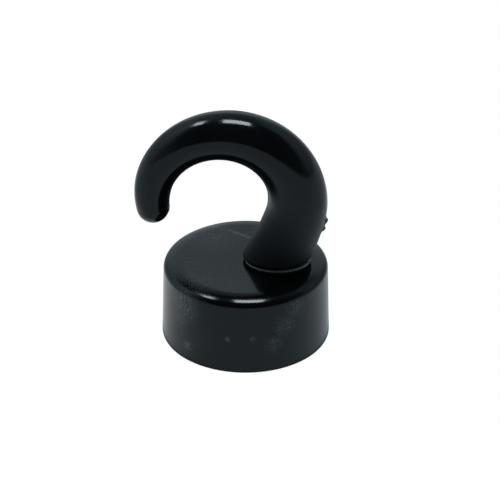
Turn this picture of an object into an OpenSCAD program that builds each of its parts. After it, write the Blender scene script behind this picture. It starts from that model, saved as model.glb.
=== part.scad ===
// Hook magnet: a pot magnet in a round black plastic cap, with a thick tapered hook.
// The hook screws into a bush that is riveted off centre in the pot's back, so the
// bowl of the hook hangs over the middle of the magnet.
// Origin: centre of the magnet's face, which is the drum's underside.
// +Z points out of the drum's top, and the hook lies in the XZ plane, open towards -X.

/* [Drum] */
// Outer diameter of the drum at its foot
drum_d = 25; // [24.5:0.5:28]
// Height from the magnet's face to the flat of the drum's top
drum_h = 12.35; // [12.25:0.05:13]
// Radius of the gentle curve between the drum's flat top and its rim
shoulder_r = 5; // [3:0.5:6]
// Slope at which the gentle curve gives way to the tighter rim
shoulder_angle = 26; // [16:1:30]
// Radius of the tighter rim above the drum's side
rim_r = 0.95; // [0.8:0.05:1.2]
// How much smaller the drum's radius is at the top, so that the cap leaves its mould
cap_draft = 0.28; // [0:0.02:0.3]
// Thickness of the cap's top
cap_top_t = 1.6; // [1.2:0.1:2]
// Height of the cap's foot above the magnet's face
cap_foot_z = 0.2; // [0.1:0.05:0.4]
// Number of stiffening ribs under the cap's top
rib_count = 6; // [4:1:8]
// Thickness of each rib
rib_t = 1; // [0.8:0.1:1.4]

/* [Pot magnet] */
// Outer diameter of the steel pot
pot_d = 22; // [21:0.5:22]
// Height of the steel pot
pot_h = 7.5; // [7:0.1:8]
// Thickness of the pot's back
pot_back_t = 2; // [1.8:0.1:2.4]
// Thickness of the pot's side wall
pot_wall_t = 1.6; // [1.2:0.1:2]
// Radius of the pot's rounded outer edge
pot_edge_r = 0.8; // [0.4:0.1:1]
// Diameter of the magnet disc
magnet_d = 16; // [14:0.5:17]
// Width of the small chamfer on the magnet's edges
magnet_chamfer = 0.3; // [0.1:0.1:0.5]
// Thickness of the glue between the magnet and the pot's back
magnet_glue_t = 0.2; // [0.1:0.05:0.4]
// Thickness of the glue between the pot's side and the cap
cap_glue_t = 0.15; // [0.1:0.05:0.2]
// How far the sealing resin stays below the magnet's face
resin_recess = 0.1; // [0.05:0.05:0.3]

/* [Threaded bush] */
// Distance from the drum's axis to the hook's screw axis
foot_x = 4.4; // [4:0.1:4.6]
// Nominal diameter of the screw thread
thread_d = 4; // [4:1:4]
// Width across flats of the bush's hexagon
bush_flats = 7; // [6.5:0.5:7]
// Height of the bush's hexagon above the pot's back
bush_h = 3; // [2.4:0.1:3]
// Diameter of the neck that passes through the pot's back
bush_neck_d = 5.4; // [5:0.1:5.6]
// Diameter of the flared end that holds the bush in the pot
bush_flare_d = 6.6; // [6:0.1:7]
// Depth of the flared end
bush_flare_h = 0.8; // [0.5:0.1:1]

/* [Hook] */
// Height of the centre of the hook's bowl
bowl_z = 22.55; // [22.05:0.05:24]
// Radius of the bowl, measured to the middle of the hook's section
bowl_r = 10.7; // [10.2:0.05:11.2]
// Angle of the hook's tip around the bowl, from +X over the top
tip_angle = 188; // [180:0.5:195]
// Angle around the bowl at which the straighter root begins
root_angle = -17; // [-18:0.5:-14]
// Radius of the gentle curve of the root
root_curve_r = 41.5; // [35:0.5:60]
// Radius of the hook's round section at the tip
tip_r = 2.45; // [2.4:0.01:2.8]
// Radius of the hook's round section half way along it
mid_r = 3.87; // [3.8:0.01:4.2]
// Radius of the hook's round section at the foot
foot_r = 4.62; // [4.5:0.01:4.8]
// How much narrower than long the foot is, as a share of its width
foot_flat = 0.08; // [0:0.01:0.12]
// Radius of the rounding around the edge of the foot
foot_edge_r = 0.9; // [0.5:0.1:1]
// Thickness of the washer between the hook's foot and the cap
washer_t = 0.25; // [0.2:0.05:0.4]
// Length of the oval washer, along the hook
washer_l = 9.6; // [9:0.1:9.8]
// Width of the oval washer
washer_w = 7.8; // [7.2:0.1:8]
// How far the washer's oval lies from its hole, away from the mouth
washer_shift = 0.35; // [0:0.05:0.4]

/* [Hook core] */
// Diameter of the steel wire inside the hook
wire_d = 3.5; // [3:0.1:3.5]
// Radius of the bend where the wire leaves the upright screw
bend_r = 4; // [3.5:0.1:4.2]
// Length of hook past the end of the wire
tip_cover = 3.5; // [3:0.5:6]
// Height of the lower end of the screw
screw_end_z = 6.2; // [5.8:0.1:7]

/* [Hidden] */
// Small overlap that lets a cut run clear through a face
cut = 1;
// Facets of a full turn on round parts
fine = 128;
// Radial running clearance of the screw in its bush
thread_gap = 0.05;
// Radial room around the screw in the cap and the washer
screw_room = 0.2;
// Room between the bush's corners and the boss that surrounds it
boss_room = 0.2;
boss_t = 1;
screw_chamfer = 0.4;
// Height of straight wire between the hook's foot and the first bend
bend_rise = 0.4;

drum_r = drum_d / 2;
drum_top_r = drum_r - cap_draft;
pot_r = pot_d / 2;
pot_inner_r = pot_r - pot_wall_t;
pot_floor_z = pot_h - pot_back_t;
cavity_r = pot_r + cap_glue_t;
cavity_top_z = drum_h - cap_top_t;
magnet_r = magnet_d / 2;
magnet_top_z = pot_floor_z - magnet_glue_t;
thread_r = thread_d / 2;
bush_corner_r = bush_flats / 2 / cos(30);
boss_r = bush_corner_r + boss_room;
foot_z = drum_h + washer_t;

// The rim's section leaves the flat top on the gentle curve and ends in the tighter rim.
flat_r = drum_top_r - rim_r - (shoulder_r - rim_r) * sin(shoulder_angle);
rim_c_z = drum_h - shoulder_r + (shoulder_r - rim_r) * cos(shoulder_angle);
shoulder_steps = 6;
rim_steps = 8;

// The hook's centreline is two arcs. The bowl's arc turns about bowl_c, and the root's
// larger arc continues it smoothly down to the middle of the foot.
arc_shift = bowl_r - root_curve_r;
root_c_z = bowl_z + arc_shift * sin(root_angle);
function root_angle_at(z) = asin((z - root_c_z) / root_curve_r);
foot_angle = root_angle_at(foot_z);
bowl_x = foot_x - arc_shift * cos(root_angle) - root_curve_r * cos(foot_angle);
root_c_x = bowl_x + arc_shift * cos(root_angle);
bowl_len = bowl_r * (tip_angle - root_angle) * PI / 180;
root_len = root_curve_r * (root_angle - foot_angle) * PI / 180;

// The section's radius is a parabola through the tip, the middle and the foot.
taper_2 = 2 * (tip_r + foot_r - 2 * mid_r);
taper_1 = foot_r - tip_r - taper_2;
function section_r(u) = tip_r + taper_1 * u + taper_2 * u * u;

// The wire rises from the screw, bends, runs straight and joins the bowl's arc.
// wire_lean is the slope of the straight stretch, which touches both arcs.
wire_r = wire_d / 2;
bend_x = foot_x + bend_r;
bend_z = foot_z + bend_rise;
arc_gap = norm([bend_x - bowl_x, bend_z - bowl_z]);
wire_lean = -atan2(bend_z - bowl_z, bend_x - bowl_x) - acos((bend_r + bowl_r) / arc_gap);
wire_end_angle = tip_angle - tip_cover / bowl_r * 180 / PI;

// Points in each ring of a swept skin, and the rings along each stretch
ring_n = 32;
tip_rings = 6;
// How far the round end closes in, where 90 would be a point
tip_pole_angle = 80;
bowl_rings = 32;
root_rings = 8;
edge_rings = 4;
bend_rings = 4;
wire_rings = 18;
// Gap between the wire and the pocket that holds it
pocket_gap = 0.06;
// Gap past the wire's end, as an angle around the bowl
pocket_end = 1;

// A ring centred at [x, z], tilted by angle a, with half widths rx in the XZ plane and ry along Y
function ring(x, z, a, rx, ry) = [
    for (i = [0 : ring_n - 1])
        let (t = 360 * i / ring_n)
        [x + rx * cos(t) * cos(a), ry * sin(t), z + rx * cos(t) * sin(a)]
];

// Round end beyond the tip, where t falls from tip_pole_angle to 0 at the last full section
function tip_ring(t) =
    let (x = bowl_x + bowl_r * cos(tip_angle) - tip_r * sin(t) * sin(tip_angle))
    let (z = bowl_z + bowl_r * sin(tip_angle) + tip_r * sin(t) * cos(tip_angle))
    ring(x, z, tip_angle, tip_r * cos(t), tip_r * cos(t));

// Full section on the bowl's arc at angle a
function bowl_ring(a) =
    let (u = (tip_angle - a) * bowl_r * PI / 180 / (bowl_len + root_len))
    ring(bowl_x + bowl_r * cos(a), bowl_z + bowl_r * sin(a), a, section_r(u), section_r(u));

// Full section on the root's arc at angle a, turned by w from square (0) to level (1)
function root_ring(a, w, inset) =
    let (u = (bowl_len + (root_angle - a) * root_curve_r * PI / 180) / (bowl_len + root_len))
    let (r = section_r(u))
    ring(root_c_x + root_curve_r * cos(a), root_c_z + root_curve_r * sin(a), a * (1 - w),
         r / cos(a * w) - inset, r * (1 - foot_flat * w) - inset);

// Sections of radius r up the wire, from height z in the foot to end_angle on the bowl's arc
function wire_path(r, z, end_angle) = concat(
    [ring(foot_x, z, 0, r, r)],
    [for (i = [0 : bend_rings])
        let (t = wire_lean * i / bend_rings)
        ring(bend_x - bend_r * cos(t), bend_z + bend_r * sin(t), -t, r, r)],
    [for (i = [0 : wire_rings])
        let (a = -wire_lean + (end_angle + wire_lean) * i / wire_rings)
        ring(bowl_x + bowl_r * cos(a), bowl_z + bowl_r * sin(a), a, r, r)]
);

// Number of point i in ring k of a swept skin
function id(k, i) = k * ring_n + i % ring_n;

// Triangles of a skin of count rings, with both of its ends closed
function skin_faces(count) = concat(
    [[for (i = [ring_n - 1 : -1 : 0]) id(0, i)]],
    [for (k = [0 : count - 2], i = [0 : ring_n - 1]) [id(k, i), id(k + 1, i + 1), id(k + 1, i)]],
    [for (k = [0 : count - 2], i = [0 : ring_n - 1]) [id(k, i), id(k, i + 1), id(k + 1, i + 1)]],
    [[for (i = [0 : ring_n - 1]) id(count - 1, i)]]
);

// The moulding's skin runs along its outside from the tip to the foot, and then back up
// the inside of the wire's pocket.
level_angle = root_angle_at(foot_z + foot_edge_r);
cover_rings = concat(
    [for (i = [0 : tip_rings - 1]) tip_ring(tip_pole_angle * (1 - i / tip_rings))],
    [for (i = [0 : bowl_rings]) bowl_ring(tip_angle + (root_angle - tip_angle) * i / bowl_rings)],
    [for (i = [1 : root_rings])
        root_ring(root_angle + (level_angle - root_angle) * i / root_rings, i / root_rings, 0)],
    [for (i = [1 : edge_rings])
        let (t = 90 * i / edge_rings)
        root_ring(root_angle_at(foot_z + foot_edge_r * (1 - sin(t))), 1, foot_edge_r * (1 - cos(t)))],
    wire_path(wire_r + pocket_gap, foot_z, wire_end_angle + pocket_end)
);

// The wire's skin runs from its end down to its lower end inside the screw
wire_rings_up = wire_path(wire_r, foot_z - bend_rise, wire_end_angle);
core_rings = [for (k = [len(wire_rings_up) - 1 : -1 : 0]) wire_rings_up[k]];

// A disc with its lower face at z, or a ring when it has a hole
module disc(r, z, h, hole_r = 0) {
    translate([0, 0, z])
        difference() {
            cylinder(r = r, h = h, $fn = fine);
            if (hole_r > 0) translate([0, 0, -cut]) cylinder(r = hole_r, h = h + 2 * cut, $fn = fine);
        }
}

// Glossy black moulded hook, with a pocket up its middle for the steel wire
module hook_cover() {
    color([0.09, 0.1, 0.11])
        polyhedron(points = [for (r = cover_rings) each r], faces = skin_faces(len(cover_rings)));
}

// Bent steel wire whose lower end is rolled into the screw
module hook_core() {
    color("silver")
        union() {
            translate([foot_x, 0, screw_end_z])
                cylinder(r1 = thread_r - screw_chamfer, r2 = thread_r, h = screw_chamfer, $fn = fine);
            translate([foot_x, 0, screw_end_z + screw_chamfer])
                cylinder(r = thread_r, h = foot_z - thread_gap - screw_end_z - screw_chamfer, $fn = fine);
            polyhedron(points = [for (r = core_rings) each r], faces = skin_faces(len(core_rings)));
        }
}

// Thin pale washer with the oval outline of the hook's foot, which turns with the foot
module foot_washer() {
    color([0.55, 0.57, 0.58])
        translate([foot_x, 0, drum_h])
            linear_extrude(height = washer_t)
                difference() {
                    translate([washer_shift, 0]) scale([washer_l, washer_w]) circle(d = 1, $fn = fine);
                    circle(r = thread_r + screw_room, $fn = fine);
                }
}

// Solid of the drum's outside: drafted side, rounded rim, gentle shoulder and flat top
module drum_outside() {
    slope = 90 - shoulder_angle;
    shoulder = [
        for (i = [0 : shoulder_steps - 1])
            let (a = 90 - shoulder_angle * i / shoulder_steps)
            [flat_r + shoulder_r * cos(a), drum_h - shoulder_r + shoulder_r * sin(a)]
    ];
    rim = [
        for (i = [0 : rim_steps])
            let (a = slope * (1 - i / rim_steps))
            [drum_top_r - rim_r + rim_r * cos(a), rim_c_z + rim_r * sin(a)]
    ];
    rotate_extrude($fn = fine)
        polygon(concat([[0, cap_foot_z], [0, drum_h]], shoulder, rim, [[drum_r, cap_foot_z]]));
}

// Ribs from the middle of the cap to its wall and the boss around the bush, which all
// rest on the pot's back
module cap_ribs() {
    translate([0, 0, pot_h])
        linear_extrude(height = cavity_top_z - pot_h + cut / 2)
            difference() {
                union() {
                    for (i = [0 : rib_count - 1])
                        rotate([0, 0, 360 * (i + 0.5) / rib_count])
                            translate([0, -rib_t / 2]) square([cavity_r + cap_glue_t, rib_t]);
                    translate([foot_x, 0]) circle(r = boss_r + boss_t, $fn = fine);
                }
                translate([foot_x, 0]) circle(r = boss_r, $fn = fine);
            }
}

// Glossy black moulded cap, open below
module cap() {
    color([0.12, 0.13, 0.14])
        difference() {
            union() {
                difference() {
                    drum_outside();
                    translate([0, 0, -cut]) cylinder(r = cavity_r, h = cavity_top_z + cut, $fn = fine);
                }
                cap_ribs();
            }
            translate([foot_x, 0, 0])
                cylinder(r = thread_r + screw_room, h = drum_h + cut, $fn = fine);
        }
}

// Film of glue between the pot's side and the cap
module cap_glue() {
    color([0.75, 0.7, 0.5])
        disc(cavity_r, 2 * pot_edge_r, pot_h - 3 * pot_edge_r, pot_r);
}

// Hexagonal steel bush with a neck through the pot's back and a flared end
module threaded_bush() {
    color([0.75, 0.7, 0.45])
        translate([foot_x, 0, 0])
            difference() {
                union() {
                    translate([0, 0, pot_h]) cylinder(r = bush_corner_r, h = bush_h, $fn = 6);
                    disc(bush_neck_d / 2, pot_floor_z, pot_back_t + cut / 2);
                    disc(bush_flare_d / 2, pot_floor_z, bush_flare_h);
                }
                translate([0, 0, pot_floor_z - cut])
                    cylinder(r = thread_r + thread_gap, h = pot_back_t + bush_h + 2 * cut, $fn = fine);
            }
}

// Section of the pot: a back with a rounded edge, and a side wall down to the magnet's face
module pot_section() {
    square([pot_r, pot_h - pot_edge_r]);
    square([pot_r - pot_edge_r, pot_h]);
    translate([pot_r - pot_edge_r, pot_h - pot_edge_r]) circle(r = pot_edge_r, $fn = fine);
}

// Zinc-plated steel pot, open below
module steel_pot() {
    color([0.7, 0.72, 0.74])
        difference() {
            rotate_extrude($fn = fine) pot_section();
            translate([0, 0, -cut]) cylinder(r = pot_inner_r, h = pot_floor_z + cut, $fn = fine);
            translate([foot_x, 0, 0]) cylinder(r = bush_neck_d / 2, h = pot_h + cut, $fn = fine);
            translate([foot_x, 0, 0])
                cylinder(r = bush_flare_d / 2, h = pot_floor_z + bush_flare_h, $fn = fine);
        }
}

// Glue between the magnet and the pot's back
module magnet_glue() {
    color([0.8, 0.78, 0.7])
        disc(magnet_r - magnet_chamfer, magnet_top_z, magnet_glue_t);
}

// Nickel-plated magnet disc with chamfered edges
module magnet() {
    color([0.85, 0.84, 0.8])
        rotate_extrude($fn = fine)
            polygon([[0, 0], [magnet_r - magnet_chamfer, 0], [magnet_r, magnet_chamfer],
                     [magnet_r, magnet_top_z - magnet_chamfer],
                     [magnet_r - magnet_chamfer, magnet_top_z], [0, magnet_top_z]]);
}

// Black resin poured around the magnet
module resin_ring() {
    color([0.15, 0.15, 0.16])
        difference() {
            disc(pot_inner_r, resin_recess, magnet_top_z - resin_recess, magnet_r);
            cylinder(r1 = magnet_r, r2 = magnet_r - magnet_chamfer, h = magnet_chamfer, $fn = fine);
        }
}

hook_cover();
hook_core();
foot_washer();
cap();
cap_glue();
threaded_bush();
steel_pot();
magnet_glue();
magnet();
resin_ring();
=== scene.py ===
"""Looks for the hook magnet: a pot magnet in a glossy black cap, with a thick tapered hook.

Every length is in metres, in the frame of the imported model: +Z out of the drum's top, the
hook in the XZ plane and open towards -X.
"""

import math

import bpy
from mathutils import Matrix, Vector


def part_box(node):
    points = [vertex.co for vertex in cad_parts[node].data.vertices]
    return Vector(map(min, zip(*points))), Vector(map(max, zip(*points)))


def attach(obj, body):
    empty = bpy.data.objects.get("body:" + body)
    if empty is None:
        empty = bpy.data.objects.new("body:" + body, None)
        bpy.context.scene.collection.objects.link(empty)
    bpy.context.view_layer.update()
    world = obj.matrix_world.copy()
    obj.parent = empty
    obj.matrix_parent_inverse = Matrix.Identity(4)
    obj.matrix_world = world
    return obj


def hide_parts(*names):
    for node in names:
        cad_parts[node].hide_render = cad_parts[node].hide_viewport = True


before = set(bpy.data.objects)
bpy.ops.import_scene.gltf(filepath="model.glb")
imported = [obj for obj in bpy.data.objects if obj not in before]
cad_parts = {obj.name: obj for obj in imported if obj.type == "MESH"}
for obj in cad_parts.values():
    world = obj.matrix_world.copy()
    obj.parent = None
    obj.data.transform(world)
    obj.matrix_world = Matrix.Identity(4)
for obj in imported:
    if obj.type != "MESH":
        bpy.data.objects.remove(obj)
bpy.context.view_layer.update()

MM = 0.001
TURN = 2 * math.pi


# ---------------------------------------------------------------- sizes
def low(node):
    return Vector(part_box(node)[0])


def high(node):
    return Vector(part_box(node)[1])


# The drum
DRUM_R = high("cap").x
DRUM_TOP = high("cap").z
CAP_FOOT = low("cap").z
CAP_DRAFT = 0.28 * MM
RIM_R = 0.95 * MM
SHOULDER_R = 5 * MM
SHOULDER_ANGLE = 26
CAP_TOP_T = 1.6 * MM
CAVITY_R = high("cap_glue").x
CAVITY_TOP = DRUM_TOP - CAP_TOP_T

# The hook's foot and screw. The washer's oval lies a little beside its hole.
WASHER_SHIFT = 0.35 * MM
FOOT_X = (low("foot_washer").x + high("foot_washer").x) / 2 - WASHER_SHIFT
FOOT_Z = low("hook_cover").z
SCREW_END = low("hook_core").z
SCREW_R = high("hook_core").y
THREAD_DEPTH = 0.43 * MM
SCREW_ROOT_R = SCREW_R - THREAD_DEPTH
SCREW_PITCH = 0.7 * MM
SCREW_ROOM = 0.2 * MM

# The hook's centreline: the bowl's arc, then the root's larger arc down to the foot
BOWL_Z = 22.55 * MM
BOWL_R = 10.7 * MM
ROOT_CURVE_R = 41.5 * MM
TIP_ANGLE = math.radians(188)
ROOT_ANGLE = math.radians(-17)
ARC_SHIFT = BOWL_R - ROOT_CURVE_R
ROOT_C_Z = BOWL_Z + ARC_SHIFT * math.sin(ROOT_ANGLE)


def root_angle_at(z):
    return math.asin((z - ROOT_C_Z) / ROOT_CURVE_R)


FOOT_ANGLE = root_angle_at(FOOT_Z)
BOWL_X = FOOT_X - ARC_SHIFT * math.cos(ROOT_ANGLE) - ROOT_CURVE_R * math.cos(FOOT_ANGLE)
ROOT_C_X = BOWL_X + ARC_SHIFT * math.cos(ROOT_ANGLE)
BOWL_LEN = BOWL_R * (TIP_ANGLE - ROOT_ANGLE)
HOOK_LEN = BOWL_LEN + ROOT_CURVE_R * (ROOT_ANGLE - FOOT_ANGLE)

# Radius of the hook's section at its tip, half way along and at its foot
TIP_R, MID_R, FOOT_R = 2.45 * MM, 3.87 * MM, 4.62 * MM
TAPER_2 = 2 * (TIP_R + FOOT_R - 2 * MID_R)
TAPER_1 = FOOT_R - TIP_R - TAPER_2
FOOT_EDGE_R = 0.9 * MM
# Share by which the section is narrower along Y at the foot
FOOT_FLAT = 0.08

# The wire inside the hook
WIRE_R = 1.75 * MM
BEND_R = 4 * MM
BEND_RISE = 0.4 * MM
BEND_Z = FOOT_Z + BEND_RISE
ARC_GAP = math.hypot(FOOT_X + BEND_R - BOWL_X, BEND_Z - BOWL_Z)
WIRE_LEAN = (-math.atan2(BEND_Z - BOWL_Z, FOOT_X + BEND_R - BOWL_X)
             - math.acos((BEND_R + BOWL_R) / ARC_GAP))
TIP_COVER = 3.5 * MM
WIRE_END_ANGLE = TIP_ANGLE - TIP_COVER / BOWL_R

# The pot magnet
POT_R = high("steel_pot").x
POT_TOP = high("steel_pot").z
POT_INNER_R = high("resin_ring").x
MAGNET_R = high("magnet").x
MAGNET_TOP = high("magnet").z


# ---------------------------------------------------------------- mesh code
def ring(x, z, tilt, rx, ry, count):
    """A ring centred at (x, z) in the XZ plane, tilted by an angle, rx wide there and ry along Y."""
    points = []
    for i in range(count):
        t = TURN * i / count
        points.append(Vector((x + rx * math.cos(t) * math.cos(tilt),
                              ry * math.sin(t),
                              z + rx * math.cos(t) * math.sin(tilt))))
    return points


def skin(name, rings, closed=False, sharp=40):
    """A mesh through rings of equal length. A closed one joins its last ring to its first."""
    count = len(rings[0])
    verts = [p for r in rings for p in r]
    faces = []
    last = len(rings) if closed else len(rings) - 1
    for k in range(last):
        a, b = k * count, (k + 1) % len(rings) * count
        for i in range(count):
            j = (i + 1) % count
            faces.append((a + i, a + j, b + j, b + i))
    if not closed:
        faces.append(tuple(reversed(range(count))))
        faces.append(tuple(range(len(verts) - count, len(verts))))
    mesh = bpy.data.meshes.new(name)
    mesh.from_pydata(verts, [], faces)
    mesh.validate()
    mesh.update()
    volume = sum(f.area * f.normal.dot(f.center) for f in mesh.polygons)
    if volume < 0:
        mesh.flip_normals()
    mesh.polygons.foreach_set("use_smooth", [True] * len(mesh.polygons))
    mesh.set_sharp_from_angle(angle=math.radians(sharp))
    obj = bpy.data.objects.new(name, mesh)
    bpy.context.collection.objects.link(obj)
    return obj


def arc(cx, cz, r, a0, a1, steps):
    """Points (radius, z) on a quarter or other arc of a turned profile, in degrees."""
    points = []
    for i in range(steps + 1):
        a = math.radians(a0 + (a1 - a0) * i / steps)
        points.append((cx + r * math.cos(a), cz + r * math.sin(a)))
    return points


def turned(name, profile, x=0.0, count=256, sharp=40):
    """A ring-shaped piece turned about the upright axis at x from a closed profile."""
    return skin(name, [ring(x, z, 0, r, r, count) for r, z in profile], closed=True, sharp=sharp)


def turned_solid(name, profile, count=256, sharp=40):
    """A solid piece turned about the drum's axis from an open profile."""
    return skin(name, [ring(0, z, 0, r, r, count) for r, z in profile], sharp=sharp)


def show(obj, body, node, material):
    obj.data.materials.append(material)
    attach(obj, body)
    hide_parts(node)
    return obj


# ---------------------------------------------------------------- materials
class Graph:
    """Short calls for building a node material, or the node tree of a world."""

    def __init__(self, name, world=False):
        self.holder = (bpy.data.worlds if world else bpy.data.materials).new(name)
        self.holder.use_nodes = True
        self.tree = self.holder.node_tree
        self.tree.nodes.clear()
        self.out = self.tree.nodes.new("ShaderNodeOutputWorld" if world else "ShaderNodeOutputMaterial")
        coords = self.tree.nodes.new("ShaderNodeTexCoord")
        self.object_coords = coords.outputs["Object"]
        self.direction = coords.outputs["Generated"]

    def put(self, value, socket):
        if isinstance(value, bpy.types.NodeSocket):
            self.tree.links.new(value, socket)
        else:
            socket.default_value = value

    def node(self, kind, *values):
        """A node whose first inputs are given in order; returns its first output."""
        node = self.tree.nodes.new(kind)
        for value, socket in zip(values, node.inputs):
            self.put(value, socket)
        return node.outputs[0]

    def math(self, op, a, b=0.0):
        node = self.tree.nodes.new("ShaderNodeMath")
        node.operation = op
        self.put(a, node.inputs[0])
        self.put(b, node.inputs[1])
        return node.outputs[0]

    def product(self, first, *others):
        for other in others:
            first = self.math("MULTIPLY", first, other)
        return first

    def split(self, vector):
        node = self.tree.nodes.new("ShaderNodeSeparateXYZ")
        self.put(vector, node.inputs[0])
        return node.outputs[0], node.outputs[1], node.outputs[2]

    def scaled(self, factors, coords=None):
        node = self.tree.nodes.new("ShaderNodeMapping")
        self.put(coords or self.object_coords, node.inputs["Vector"])
        node.inputs["Scale"].default_value = factors
        return node.outputs[0]

    def noise(self, size, detail=4.0, rough=0.5, coords=None):
        """Noise whose blobs are about size metres across."""
        node = self.tree.nodes.new("ShaderNodeTexNoise")
        self.put(coords or self.object_coords, node.inputs["Vector"])
        node.inputs["Scale"].default_value = 1 / size
        node.inputs["Detail"].default_value = detail
        node.inputs["Roughness"].default_value = rough
        return node.outputs["Fac"]

    def specks(self, size, radius, coords=None):
        """1 inside scattered dots, whose cells are size metres and whose radius is a share of that."""
        node = self.tree.nodes.new("ShaderNodeTexVoronoi")
        self.put(coords or self.object_coords, node.inputs["Vector"])
        node.inputs["Scale"].default_value = 1 / size
        return self.ramp(node.outputs["Distance"], radius, radius * 0.6)

    def ramp(self, value, start, end, low=0.0, high=1.0):
        """Smooth step of value from low at start to high at end."""
        node = self.tree.nodes.new("ShaderNodeMapRange")
        node.interpolation_type = "SMOOTHSTEP"
        self.put(value, node.inputs["Value"])
        for socket, number in zip(("From Min", "From Max", "To Min", "To Max"), (start, end, low, high)):
            node.inputs[socket].default_value = number
        return node.outputs["Result"]

    def near(self, centre, reach):
        """1 at a point on the object, falling to 0 at a distance of reach."""
        node = self.tree.nodes.new("ShaderNodeVectorMath")
        node.operation = "DISTANCE"
        self.put(self.object_coords, node.inputs[0])
        node.inputs[1].default_value = centre
        return self.ramp(node.outputs["Value"], reach, 0.0)

    def mix(self, fac, a, b):
        node = self.tree.nodes.new("ShaderNodeMix")
        node.data_type = "RGBA"
        self.put(fac, node.inputs["Factor"])
        self.put(a, node.inputs["A"])
        self.put(b, node.inputs["B"])
        return node.outputs["Result"]

    def bump(self, height, distance, strength=1.0, normal=None):
        node = self.tree.nodes.new("ShaderNodeBump")
        self.put(height, node.inputs["Height"])
        node.inputs["Distance"].default_value = distance
        node.inputs["Strength"].default_value = strength
        if normal is not None:
            self.put(normal, node.inputs["Normal"])
        return node.outputs["Normal"]

    def shader(self, **values):
        node = self.tree.nodes.new("ShaderNodeBsdfPrincipled")
        for name, value in values.items():
            self.put(value, node.inputs[name.replace("_", " ")])
        return self.finish(node.outputs["BSDF"])

    def for_camera(self, seen, reflected):
        """One shader for the camera's own rays and another for all the others."""
        light_path = self.tree.nodes.new("ShaderNodeLightPath")
        return self.node("ShaderNodeMixShader", light_path.outputs["Is Camera Ray"], reflected, seen)

    def finish(self, surface):
        self.put(surface, self.out.inputs["Surface"])
        return self.holder


def grey(value, tint=(1.0, 1.0, 1.0)):
    return (value * tint[0], value * tint[1], value * tint[2], 1.0)


BLACK_TINT = (0.85, 1.0, 1.12)
DUST = (0.30, 0.33, 0.34, 1.0)
# Roughness that a worn place adds
SATIN = 0.55


def black_plastic(name, patches, specks, worn=None):
    """Glossy injection-moulded black plastic with smudges, dust, hairlines and faint ripples.

    patches are (centre, reach, strength) of the dusty places, in metres, and specks the strength
    of the loose dots all over. worn is the centre and reach of a place rubbed to a satin finish.
    """
    g = Graph(name)
    smudge = g.noise(5 * MM, 3.0, 0.6)
    grain = g.noise(0.22 * MM, 2.0, 0.7)
    dust = g.math("MULTIPLY", g.specks(0.9 * MM, 0.09), g.ramp(g.noise(4 * MM), 0.5, 0.7, 0.0, specks))
    for centre, reach, strength in patches:
        haze = g.math("MULTIPLY", g.near(centre, reach), g.ramp(grain, 0.42, 0.64, 0.0, strength))
        dust = g.math("MAXIMUM", dust, haze)
    base = g.mix(g.ramp(smudge, 0.35, 0.7), grey(0.0032, BLACK_TINT), grey(0.006, BLACK_TINT))
    hairlines = g.noise(1.2 * MM, 6.0, 0.8, g.scaled((1.0, 1.0, 0.05)))
    rough = g.math("ADD", g.ramp(smudge, 0.3, 0.75, 0.11, 0.17), g.math("MULTIPLY", dust, 0.5))
    if worn:
        rough = g.math("ADD", rough, g.math("MULTIPLY", g.near(*worn), SATIN))
    ripples = g.bump(g.noise(3.2 * MM, 1.0), 0.02 * MM, 0.6)
    normal = g.bump(hairlines, 0.004 * MM, 0.5, ripples)
    return g.shader(Base_Color=g.mix(dust, base, DUST), Roughness=rough, Normal=normal, IOR=1.5)


def washer_nylon():
    g = Graph("washer_nylon")
    tone = g.ramp(g.noise(0.8 * MM), 0.3, 0.7)
    return g.shader(Base_Color=g.mix(tone, grey(0.7), grey(0.85)),
                    Roughness=g.ramp(g.noise(0.5 * MM), 0.3, 0.7, 0.25, 0.4),
                    Normal=g.bump(g.noise(0.3 * MM), 0.01 * MM))


def plated(name, light, dark, rough, grain_scale, grain_depth):
    """Plated metal: a soft patchy tone, fine grain along one direction and small stains."""
    g = Graph(name)
    patch = g.ramp(g.noise(2.5 * MM, 5.0, 0.65), 0.35, 0.68)
    stain = g.ramp(g.noise(1.1 * MM, 4.0), 0.6, 0.75, 0.0, 0.5)
    grain = g.noise(0.4 * MM, 5.0, 0.7, g.scaled(grain_scale))
    tone = g.mix(stain, g.mix(patch, light, dark), tuple(c * 0.6 for c in dark[:3]) + (1.0,))
    return g.shader(Base_Color=tone, Metallic=1.0,
                    Roughness=g.math("ADD", g.ramp(patch, 0.0, 1.0, rough, rough + 0.12),
                                     g.math("MULTIPLY", stain, 0.3)),
                    Normal=g.bump(grain, grain_depth))


def resin():
    g = Graph("resin")
    pits = g.specks(0.8 * MM, 0.16)
    return g.shader(Base_Color=g.mix(g.noise(1.5 * MM), grey(0.008), grey(0.02)),
                    Roughness=g.ramp(g.noise(1.0 * MM), 0.3, 0.7, 0.2, 0.4),
                    Normal=g.bump(g.math("SUBTRACT", g.noise(1.6 * MM), pits), 0.05 * MM))


def glue():
    g = Graph("glue")
    tone = g.ramp(g.noise(0.9 * MM), 0.3, 0.7)
    return g.shader(Base_Color=g.mix(tone, (0.45, 0.38, 0.2, 1.0), (0.6, 0.54, 0.36, 1.0)),
                    Roughness=g.ramp(g.noise(0.4 * MM), 0.3, 0.7, 0.35, 0.6),
                    Normal=g.bump(g.noise(0.6 * MM), 0.03 * MM))


# ---------------------------------------------------------------- the hook
# The gate's stub: its height on the hook, half its size along Z and Y, and how far it stands out
GATE_Z = 18.6 * MM
GATE_HALF = (1.2 * MM, 0.7 * MM)
GATE_PROUD = 0.5 * MM
SEAM_PROUD = 0.035 * MM
SEAM_HALF = 0.13 * MM
SECTION_COUNT = 160


def section_r(u):
    return TIP_R + TAPER_1 * u + TAPER_2 * u * u


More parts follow.
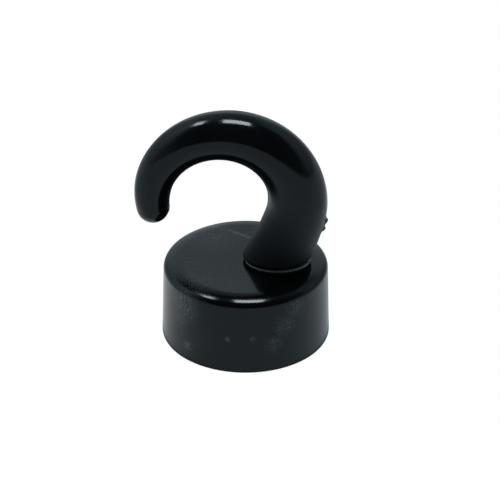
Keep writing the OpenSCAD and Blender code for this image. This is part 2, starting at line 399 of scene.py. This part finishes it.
def hook_section(s):
    """Centre, normal angle and radius of the hook's section at length s from the tip."""
    if s <= BOWL_LEN:
        a = TIP_ANGLE - s / BOWL_R
        x, z = BOWL_X + BOWL_R * math.cos(a), BOWL_Z + BOWL_R * math.sin(a)
    else:
        a = ROOT_ANGLE - (s - BOWL_LEN) / ROOT_CURVE_R
        x, z = ROOT_C_X + ROOT_CURVE_R * math.cos(a), ROOT_C_Z + ROOT_CURVE_R * math.sin(a)
    return x, z, a, section_r(s / HOOK_LEN)


def hook_rings():
    tip_steps, along, edge_steps = 20, 220, 12
    rings = []
    x, z, a, r = hook_section(0)
    for i in range(tip_steps):
        t = math.radians(86) * (1 - i / tip_steps)
        rings.append(ring(x - r * math.sin(t) * math.sin(a), z + r * math.sin(t) * math.cos(a), a,
                          r * math.cos(t), r * math.cos(t), SECTION_COUNT))
    level_s = BOWL_LEN + (ROOT_ANGLE - root_angle_at(FOOT_Z + FOOT_EDGE_R)) * ROOT_CURVE_R
    for i in range(along + 1):
        s = level_s * i / along
        x, z, a, r = hook_section(s)
        level = max(0.0, (s - BOWL_LEN) / (level_s - BOWL_LEN))
        level *= level * (3 - 2 * level)
        rings.append(ring(x, z, a * (1 - level), r / math.cos(a * level), r * (1 - FOOT_FLAT * level),
                          SECTION_COUNT))
    for i in range(1, edge_steps + 1):
        t = math.pi / 2 * i / edge_steps
        inset = FOOT_EDGE_R * (1 - math.cos(t))
        a = root_angle_at(FOOT_Z + FOOT_EDGE_R * (1 - math.sin(t)))
        s = BOWL_LEN + (ROOT_ANGLE - a) * ROOT_CURVE_R
        x, z, a, r = hook_section(s)
        rings.append(ring(x, z, 0, r / math.cos(a) - inset, r * (1 - FOOT_FLAT) - inset, SECTION_COUNT))
    return rings


def wire_rings(r, z, end_angle, count, steps=60):
    rings = [ring(FOOT_X, z, 0, r, r, count)]
    for i in range(9):
        t = WIRE_LEAN * i / 8
        rings.append(ring(FOOT_X + BEND_R - BEND_R * math.cos(t), BEND_Z + BEND_R * math.sin(t),
                          -t, r, r, count))
    for i in range(steps + 1):
        a = -WIRE_LEAN + (end_angle + WIRE_LEAN) * i / steps
        rings.append(ring(BOWL_X + BOWL_R * math.cos(a), BOWL_Z + BOWL_R * math.sin(a), a, r, r, count))
    return rings


def seam_height(p, n):
    """Height of the mould's seam at a point of the hook whose normal is n."""
    if p.z < FOOT_Z + FOOT_EDGE_R or abs(n.y) > 0.3:
        return 0.0
    return SEAM_PROUD * math.exp(-(p.y / SEAM_HALF) ** 2)


def gate_height(p):
    """Height of the gate's broken stub, which has two knobs one above the other."""
    dz, dy = (p.z - GATE_Z) / GATE_HALF[0], p.y / GATE_HALF[1]
    if p.x <= FOOT_X + FOOT_R or abs(dz) >= 1.3 or abs(dy) >= 1.6:
        return 0.0
    edge = 1 / (1 + math.exp(9 * (abs(dz) - 0.85))) / (1 + math.exp(9 * (abs(dy) - 0.8)))
    return GATE_PROUD * edge * (0.62 - 0.38 * math.cos(4.7 * dz + 0.2) * math.cos(2 * dy + 0.3))


def add_moulding_marks(mesh):
    """Raises the mould's seam along the hook's crest and the gate's stub on its back."""
    offsets = [v.normal * (seam_height(v.co, v.normal) + gate_height(v.co)) for v in mesh.vertices]
    for v, offset in zip(mesh.vertices, offsets):
        v.co += offset


def make_hook(material):
    room = 0.06 * MM
    pocket = wire_rings(WIRE_R + room, FOOT_Z, WIRE_END_ANGLE + 0.02, SECTION_COUNT)
    hook = skin("hook_skin", hook_rings() + pocket, sharp=50)
    add_moulding_marks(hook.data)
    show(hook, "hook", "hook_cover", material)


def screw_rings(count=48, per_turn=24):
    """The rolled thread: rings up the screw whose radius follows a helix of round-rooted ridges."""
    top = FOOT_Z - 0.05 * MM
    steps = int((top - SCREW_END) / SCREW_PITCH * per_turn)
    rings = []
    for k in range(steps + 1):
        z = SCREW_END + (top - SCREW_END) * k / steps
        fade = min(1.0, (z - SCREW_END) / (0.6 * MM), (top - z) / (0.25 * MM) + 0.15)
        points = []
        for i in range(count):
            t = TURN * i / count
            phase = (z / SCREW_PITCH - i / count) % 1.0
            ridge = max(0.0, 1 - abs(phase - 0.5) * 2.3)
            r = SCREW_ROOT_R + (SCREW_R - SCREW_ROOT_R) * min(1.0, ridge * 1.15) * max(0.0, fade)
            points.append(Vector((FOOT_X + r * math.cos(t), r * math.sin(t), z)))
        rings.append(points)
    return rings


def make_core(material):
    wire = wire_rings(WIRE_R, FOOT_Z, WIRE_END_ANGLE, 48)
    core = skin("hook_core_wire", screw_rings() + wire, sharp=60)
    show(core, "hook", "hook_core", material)


# How far the soft washer is squeezed out beyond its own size
SQUEEZE = 0.12 * MM


def make_washer(material):
    middle = FOOT_X + WASHER_SHIFT
    half_l = high("foot_washer").x - middle + SQUEEZE
    half_w = high("foot_washer").y + SQUEEZE
    hole_r = SCREW_R + SCREW_ROOM
    bottom, top = DRUM_TOP, FOOT_Z
    bead = (top - bottom) / 2
    edge = [(2 * bead, bottom)] + arc(bead, bottom + bead, -bead, 90, -90, 10) + [(2 * bead, top)]
    rings = [ring(FOOT_X, z, 0, hole_r, hole_r, 160) for z in (top, bottom)]
    rings += [ring(middle, z, 0, half_l - inset, half_w - inset, 160) for inset, z in edge]
    washer = skin("foot_washer_ring", rings, closed=True)
    show(washer, "washer", "foot_washer", material)


# ---------------------------------------------------------------- the drum
def make_cap(material):
    count = 256
    edge = 0.12 * MM
    hole_r = SCREW_R + SCREW_ROOM
    top_r = DRUM_R - CAP_DRAFT
    slope = 90 - SHOULDER_ANGLE
    centres = SHOULDER_R - RIM_R
    flat_r = top_r - RIM_R - centres * math.sin(math.radians(SHOULDER_ANGLE))
    rim_z = DRUM_TOP - SHOULDER_R + centres * math.cos(math.radians(SHOULDER_ANGLE))
    profile = ([(flat_r - 0.25 * MM, DRUM_TOP)]
               + arc(flat_r, DRUM_TOP - SHOULDER_R, SHOULDER_R, 90, slope, 20)
               + arc(top_r - RIM_R, rim_z, RIM_R, slope, 0, 24)[1:]
               + [(top_r, rim_z - 0.2 * MM), (DRUM_R, CAP_FOOT + edge + 0.2 * MM)]
               + arc(DRUM_R - edge, CAP_FOOT + edge, edge, 0, -90, 6)
               + [(CAVITY_R + edge, CAP_FOOT), (CAVITY_R, CAP_FOOT + edge),
                  (CAVITY_R, CAVITY_TOP - edge), (CAVITY_R - edge, CAVITY_TOP)])
    hole = [ring(FOOT_X, z, 0, hole_r, hole_r, count) for z in (CAVITY_TOP, DRUM_TOP)]
    rings = hole + [ring(0, z, 0, r, r, count) for r, z in profile]
    cap = skin("cap_shell", rings, closed=True, sharp=50)
    show(cap, "magnet_base", "cap", material)


def make_pot(material):
    edge, back = 0.8 * MM, MAGNET_TOP + 0.2 * MM
    burr = 0.08 * MM
    neck_r, flare_r, flare_top = 2.7 * MM, 3.3 * MM, back + 0.8 * MM
    profile = ([(POT_INNER_R, back), (POT_INNER_R, burr), (POT_INNER_R + burr, 0),
                (POT_R - burr, 0), (POT_R, burr)]
               + arc(POT_R - edge, POT_TOP - edge, edge, 0, 90, 10))
    hole = [ring(FOOT_X, z, 0, r, r, 192) for r, z in
            ((neck_r, POT_TOP), (neck_r, flare_top), (flare_r, flare_top), (flare_r, back))]
    rings = [ring(0, z, 0, r, r, 192) for r, z in profile] + hole
    pot = skin("steel_pot_shell", rings, closed=True, sharp=35)
    show(pot, "magnet_base", "steel_pot", material)


def make_magnet(material):
    bevel = 0.3 * MM
    profile = ([(MAGNET_R - bevel - 0.3 * MM, 0)] + arc(MAGNET_R - bevel, bevel, bevel, -90, 0, 8)
               + arc(MAGNET_R - bevel, MAGNET_TOP - bevel, bevel, 0, 90, 8))
    magnet = turned_solid("magnet_disc", profile, 192)
    show(magnet, "magnet_base", "magnet", material)


def make_resin(material):
    recess = low("resin_ring").z
    wide = POT_INNER_R - MAGNET_R
    top = high("resin_ring").z
    meniscus = [(MAGNET_R + wide * i / 16, recess * (1 + math.sin(math.pi * i / 16))) for i in range(17)]
    ring_of_resin = turned("resin_ring_fill", meniscus + [(POT_INNER_R, top), (MAGNET_R, top)], 0, 192)
    show(ring_of_resin, "magnet_base", "resin_ring", material)


def finish_hidden(node, material):
    """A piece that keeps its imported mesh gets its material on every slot."""
    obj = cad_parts[node]
    for i in range(max(1, len(obj.material_slots))):
        if not obj.material_slots:
            obj.data.materials.append(material)
        obj.material_slots[i].material = material


# Dusty places: centre, reach and strength
CAP_DUST = [
    ((-8.9 * MM, -8.7 * MM, 9.6 * MM), 4.0 * MM, 0.75),
    ((-9.6 * MM, -8.0 * MM, 7.0 * MM), 2.6 * MM, 0.5),
    ((-8.3 * MM, -9.3 * MM, 2.8 * MM), 1.3 * MM, 0.8),
    ((7.8 * MM, -9.7 * MM, 9.8 * MM), 2.4 * MM, 0.45),
    ((6.2 * MM, -10.8 * MM, 7.4 * MM), 2.4 * MM, 0.5),
    ((4.6 * MM, -11.6 * MM, 4.8 * MM), 2.0 * MM, 0.45),
    ((-2.2 * MM, -12.2 * MM, 5.9 * MM), 0.7 * MM, 1.0),
    ((1.5 * MM, -12.4 * MM, 6.0 * MM), 0.7 * MM, 1.0),
    ((-7.0 * MM, -4.5 * MM, 12.4 * MM), 7.0 * MM, 0.5),
    ((-5.5 * MM, 5.5 * MM, 12.4 * MM), 6.5 * MM, 0.34),
    ((-1.5 * MM, -6.0 * MM, 12.4 * MM), 6.0 * MM, 0.24),
    ((9.5 * MM, 2.0 * MM, 12.4 * MM), 4.5 * MM, 0.24),
    ((-3.0 * MM, -1.8 * MM, 12.3 * MM), 0.5 * MM, 1.0),
]
# A worn line on the drum's top, as points (x, y)
RUBBED = ((-6.6 * MM, 9.4 * MM), (-5.0 * MM, 9.1 * MM), (-2.9 * MM, 8.0 * MM), (-1.0 * MM, 6.9 * MM),
          (0.6 * MM, 5.8 * MM))
HOOK_DUST = [
    ((3.8 * MM, -3.6 * MM, 24.5 * MM), 1.6 * MM, 0.12),
    ((9.5 * MM, -2.5 * MM, 21.5 * MM), 2.5 * MM, 0.10),
]
# Centre and reach of the hook's satin place
HOOK_WORN = ((5.0 * MM, -2.0 * MM, 14.0 * MM), 16.0 * MM)


def rubbed_line(steps=4):
    """Small dusty places in a row along the worn line."""
    patches = []
    for (xa, ya), (xb, yb) in zip(RUBBED, RUBBED[1:]):
        for i in range(steps):
            t = i / steps
            patches.append(((xa + (xb - xa) * t, ya + (yb - ya) * t, DRUM_TOP), 0.65 * MM, 0.8))
    return patches


make_cap(black_plastic("cap_plastic", CAP_DUST + rubbed_line(), 0.5))
make_hook(black_plastic("hook_plastic", HOOK_DUST, 0.3, HOOK_WORN))
make_core(plated("wire_steel", (0.66, 0.66, 0.64, 1), (0.5, 0.5, 0.49, 1), 0.28, (1, 1, 6), 0.008 * MM))
make_washer(washer_nylon())
make_pot(plated("pot_steel", (0.68, 0.69, 0.7, 1), (0.55, 0.56, 0.58, 1), 0.3, (1, 1, 1), 0.01 * MM))
make_magnet(plated("magnet_plating", (0.72, 0.69, 0.63, 1), (0.64, 0.61, 0.56, 1), 0.16, (1, 6, 1),
                   0.004 * MM))
make_resin(resin())
finish_hidden("threaded_bush", plated("bush_steel", (0.72, 0.66, 0.42, 1), (0.6, 0.52, 0.3, 1), 0.3,
                                      (1, 1, 6), 0.01 * MM))
for glue_node in ("cap_glue", "magnet_glue"):
    finish_hidden(glue_node, glue())


# ---------------------------------------------------------------- studio
WHITE = (1.0, 1.0, 1.0, 1.0)
# Tints of the floor's sheet where it is dim and where it is bright
FLOOR_TINT = (0.80, 1.0, 1.13, 1.0)
FLOOR_BRIGHT_TINT = (0.95, 1.0, 1.03, 1.0)
# Brightness of the floor's glowing sheet far in front and close by, and the painted light added beside
# the object
FLOOR_FRONT = 0.34
FLOOR_CLOSE = 0.375
FLOOR_LEFT = 0.34
FLOOR_RIGHT = 0.2
# Share of that brightness lost in the object's shadow behind it
SHADOW = 0.85
BACKDROP = (0.39, 0.48, 0.52, 1.0)
ROOM = (0.022, 0.028, 0.032, 1.0)
# How steeply the backdrop's upper edge rises to the back, and how much higher it is on the left
WALL_SLOPE = 0.88
WALL_TILT = 0.2
LIGHT_COLOUR = (0.86, 1.0, 1.06)


def sheet_strength(g):
    """How bright each place of the floor's glowing sheet is in reflections: painted light beside the
    object and close in front of it, a painted shadow behind it and a painted contact shadow round the
    drum.
    """
    x, y, _ = g.split(g.object_coords)
    across = g.math("ABSOLUTE", x)
    # Painted light: the sheet is made brighter beside the object, more on the left than on the right.
    painted_light_beside = g.product(g.ramp(across, 7 * MM, 13 * MM), g.ramp(across, 55 * MM, 30 * MM),
                       g.ramp(y, -21 * MM, 6 * MM), g.ramp(x, -8 * MM, 8 * MM, FLOOR_LEFT, FLOOR_RIGHT))
    total = g.math("ADD", painted_light_beside, g.ramp(y, -60 * MM, -25 * MM, FLOOR_FRONT, FLOOR_CLOSE))
    shadow = g.product(g.ramp(across, 18 * MM, 8 * MM), g.ramp(y, 6 * MM, 13 * MM), SHADOW)
    around = g.math("SQRT", g.math("ADD", g.product(x, x), g.product(y, y)))
    # Painted contact shadow: the sheet's brightness is halved at the drum's edge and comes back within
    # 1.2 mm.
    painted_contact_shadow = g.ramp(around, DRUM_R, DRUM_R + 1.2 * MM, 0.5, 1.0)
    return g.product(total, g.math("SUBTRACT", 1.0, shadow), painted_contact_shadow)


def floor_material():
    """White for the camera, a glowing sheet of painted light and shade in reflections, and clear from
    below.
    """
    g = Graph("floor_white")
    strength = sheet_strength(g)
    tint = g.mix(g.ramp(strength, 0.38, 0.7), FLOOR_TINT, FLOOR_BRIGHT_TINT)
    # The sheet glows with the painted light and shade of sheet_strength; only reflections see it.
    sheet = g.node("ShaderNodeEmission", tint, strength)
    glow = g.node("ShaderNodeEmission", WHITE, 1.0)
    paint = g.node("ShaderNodeBsdfDiffuse", grey(0.05))
    top = g.for_camera(g.node("ShaderNodeAddShader", glow, paint), sheet)
    clear = g.node("ShaderNodeBsdfTransparent")
    geometry = g.tree.nodes.new("ShaderNodeNewGeometry")
    return g.finish(g.node("ShaderNodeMixShader", geometry.outputs["Backfacing"], top, clear))


def make_floor():
    half = 1.5
    mesh = bpy.data.meshes.new("floor")
    corners = [(-half, -half, 0), (half, -half, 0), (half, half, 0), (-half, half, 0)]
    mesh.from_pydata(corners, [], [(0, 1, 2, 3)])
    floor = bpy.data.objects.new("floor", mesh)
    floor.location.z = -0.02 * MM
    mesh.materials.append(floor_material())
    bpy.context.collection.objects.link(floor)


def backdrop_level(g):
    """Share of the backdrop's full brightness in each direction."""
    x, y, z = g.split(g.direction)
    slant = g.math("SUBTRACT", z, g.product(y, WALL_SLOPE))
    wall = g.ramp(g.math("ADD", slant, g.product(x, WALL_TILT)), 0.85, 0.4)
    centre = g.ramp(g.math("ABSOLUTE", x), 0.62, 0.3)
    middle = g.product(centre, g.ramp(slant, 0.12, -0.2, 0.33, 1.0))
    sides = g.product(g.math("SUBTRACT", 1.0, centre), g.ramp(slant, -0.2, 0.35, 0.5, 0.78))
    behind = g.ramp(y, -0.5, 0.35, 0.3, 1.0)
    left = g.ramp(x, 1.0, -1.0, 0.75, 1.25)
    return g.product(wall, g.math("ADD", middle, sides), behind, left)


def make_world():
    """White for the camera. Reflections see a low backdrop and a dark room above and in front."""
    g = Graph("studio", world=True)
    room = g.node("ShaderNodeBackground", g.mix(backdrop_level(g), ROOM, BACKDROP))
    bpy.context.scene.world = g.finish(g.for_camera(g.node("ShaderNodeBackground", WHITE), room))


def make_light(name, place, size, radiance):
    """A small flat lamp that faces down; its power follows from the brightness of its face."""
    data = bpy.data.lights.new(name, "AREA")
    data.shape = "RECTANGLE"
    data.size, data.size_y = size
    data.energy = radiance * math.pi * size[0] * size[1]
    data.color = LIGHT_COLOUR
    lamp = bpy.data.objects.new(name, data)
    lamp.location = place
    bpy.context.collection.objects.link(lamp)
    return lamp


def make_camera():
    """A long lens that looks down at the part from the front."""
    azimuth, elevation, distance = math.radians(2.0), math.radians(31.4), 0.5
    back = Vector((math.sin(azimuth) * math.cos(elevation),
                   -math.cos(azimuth) * math.cos(elevation),
                   math.sin(elevation)))
    right = Vector((math.cos(azimuth), math.sin(azimuth), 0))
    up = back.cross(right)
    target = right * 0.639 * MM + up * 11.774 * MM
    data = bpy.data.cameras.new("camera")
    data.sensor_width = 36.0
    frame_width = 75.2 * MM
    data.lens = data.sensor_width * distance / frame_width
    data.clip_start, data.clip_end = 0.01, 20
    camera = bpy.data.objects.new("camera", data)
    camera.location = target + back * distance
    camera.rotation_euler = back.to_track_quat("Z", "Y").to_euler()
    bpy.context.collection.objects.link(camera)
    bpy.context.scene.camera = camera


make_floor()
make_world()
make_light("lamp_right", (2.3 * MM, 2 * MM, 70 * MM), (18.8 * MM, 10.5 * MM), 9.5)
lamp_left = make_light("lamp_left", (-26 * MM, 8 * MM, 70 * MM), (10 * MM, 10.5 * MM), 8.0)
lamp_left.rotation_euler = (0, 0, math.radians(-20))
make_camera()
bpy.context.scene.view_settings.view_transform = "Standard"
